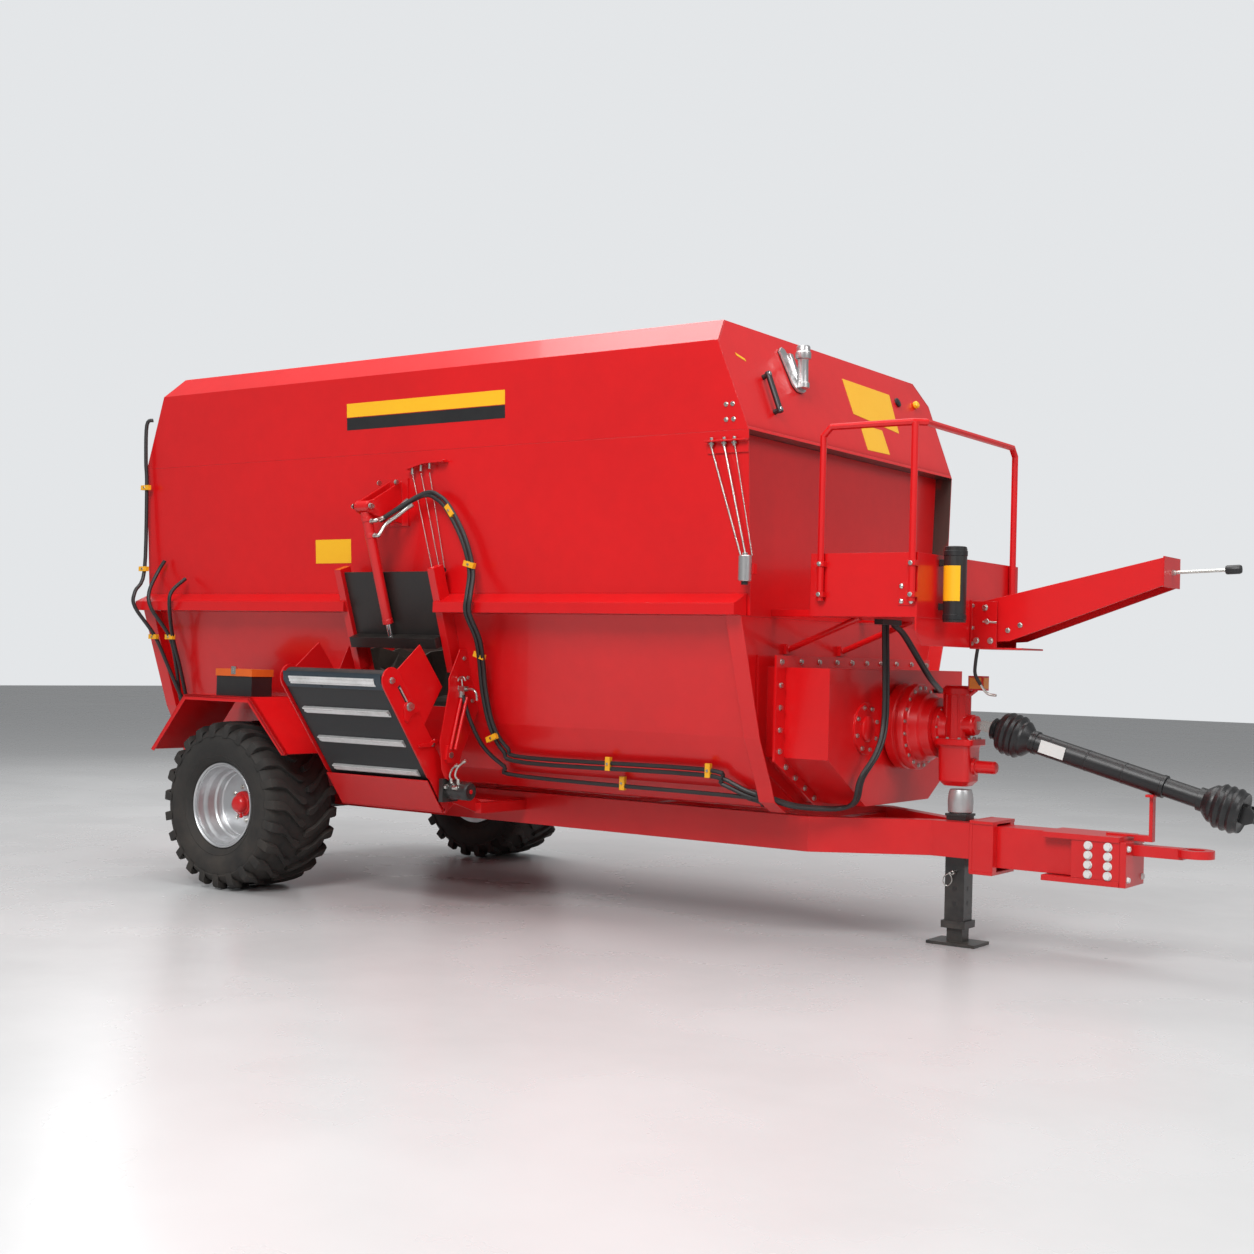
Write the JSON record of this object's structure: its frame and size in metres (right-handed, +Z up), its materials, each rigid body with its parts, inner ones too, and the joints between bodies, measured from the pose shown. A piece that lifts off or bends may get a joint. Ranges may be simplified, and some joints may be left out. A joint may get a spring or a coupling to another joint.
{
  "type": "feed mixer wagon",
  "caption": "Trailed feed mixer wagon with an open red tub, horizontal augers inside, a side gate with a folding conveyor, flotation tyres, a driveshaft and a parking jack.",
  "frame": {"origin": "on the ground under the middle of the machine's box, between its rear edge and the driveshaft's end", "axes": "+X forward to the drawbar, +Y to the left, +Z up"},
  "size_m": [6.198, 2.906, 2.937],
  "materials": {
    "red_paint": "glossy red enamel on sheet steel, worn at the edges",
    "black_paint": "satin black enamel",
    "tyre_rubber": "matt black tyre rubber, dusty in the tread",
    "rim_silver": "silver paint on the wheel rims",
    "lid_orange": "matt orange moulded plastic",
    "belt_rubber": "dark rubber belt with slats",
    "guard_plastic": "black moulded plastic guard",
    "worn_steel": "steel polished by the feed"
  },
  "bodies": {
    "chassis": {"arm_seat": "red_paint", "axle_beam": "black_paint", "chassis_frame": "red_paint", "conveyor_bracket": "red_paint", "drawbar": "red_paint", "end_plate_front": "red_paint", "end_plate_rear": "red_paint", "end_wall_front": "red_paint", "end_wall_rear": "red_paint", "extension_front": "red_paint", "extension_left": "red_paint", "extension_rear": "red_paint", "extension_right": "red_paint", "gate_cylinder": "red_paint", "gate_frame": "red_paint", "gear_housing": "red_paint", "handrail": "red_paint", "input_gearbox": "red_paint", "manual_holder": "guard_plastic", "mid_rail_left": "red_paint", "mudguard_left": "red_paint", "mudguard_right": "red_paint", "parking_jack": "black_paint", "planetary_gearbox": "red_paint", "platform": "red_paint", "shaft_post": "black_paint", "side_wall_left": "red_paint", "side_wall_right": "red_paint", "toolbox": "guard_plastic", "tow_eye": "black_paint", "trough": "red_paint"},
    "wheel_right": {"tyre_right": "tyre_rubber", "rim_right": "rim_silver", "hub_right": "red_paint"},
    "wheel_left": {"tyre_left": "tyre_rubber", "rim_left": "rim_silver", "hub_left": "red_paint"},
    "auger_right": {"auger_right": "worn_steel"},
    "auger_left": {"auger_left": "worn_steel"},
    "gate": {"gate": "black_paint"},
    "conveyor": {"conveyor_belt": "belt_rubber", "conveyor_frame": "red_paint", "conveyor_motor": "black_paint"},
    "toolbox_lid": {"toolbox_lid": "lid_orange"},
    "driveshaft": {"driveshaft": "guard_plastic"},
    "arm": {"arm": "red_paint"}
  },
  "joints": [
    {"name": "wheel_right_spin", "type": "hinge", "parent": "chassis", "child": "wheel_right", "pos_m": [-2.13896, -0.95504, 0.466], "axis": [0, 1, 0], "continuous": true},
    {"name": "wheel_left_spin", "type": "hinge", "parent": "chassis", "child": "wheel_left", "pos_m": [-2.13896, 1.20096, 0.466], "axis": [0, 1, 0], "continuous": true},
    {"name": "auger_right_spin", "type": "hinge", "parent": "chassis", "child": "auger_right", "pos_m": [-1.03896, -0.27704, 1.02], "axis": [1, 0, 0], "continuous": true},
    {"name": "auger_left_spin", "type": "hinge", "parent": "chassis", "child": "auger_left", "pos_m": [-1.03896, 0.52296, 1.02], "axis": [1, 0, 0], "continuous": true},
    {"name": "gate_slide", "type": "slide", "parent": "chassis", "child": "gate", "axis": [0, 0.3202, -0.9473], "range_m": [0, 0.37]},
    {"name": "conveyor_fold", "type": "hinge", "parent": "chassis", "child": "conveyor", "pos_m": [-1.04896, -0.95204, 0.64], "axis": [1, 0, 0], "range_deg": [0, 45]},
    {"name": "toolbox_lid_hinge", "type": "hinge", "parent": "chassis", "child": "toolbox_lid", "pos_m": [-2.13896, -0.97404, 1.1856], "axis": [-1, 0, 0], "range_deg": [0, 95]},
    {"name": "driveshaft_lift", "type": "hinge", "parent": "chassis", "child": "driveshaft", "pos_m": [1.82104, 0.12296, 1.062], "axis": [0, -1, 0], "range_deg": [0, 20]},
    {"name": "arm_lift", "type": "hinge", "parent": "chassis", "child": "arm", "pos_m": [1.89104, 0.03296, 1.625], "axis": [0, -1, 0], "range_deg": [0, 60]}
  ]
}
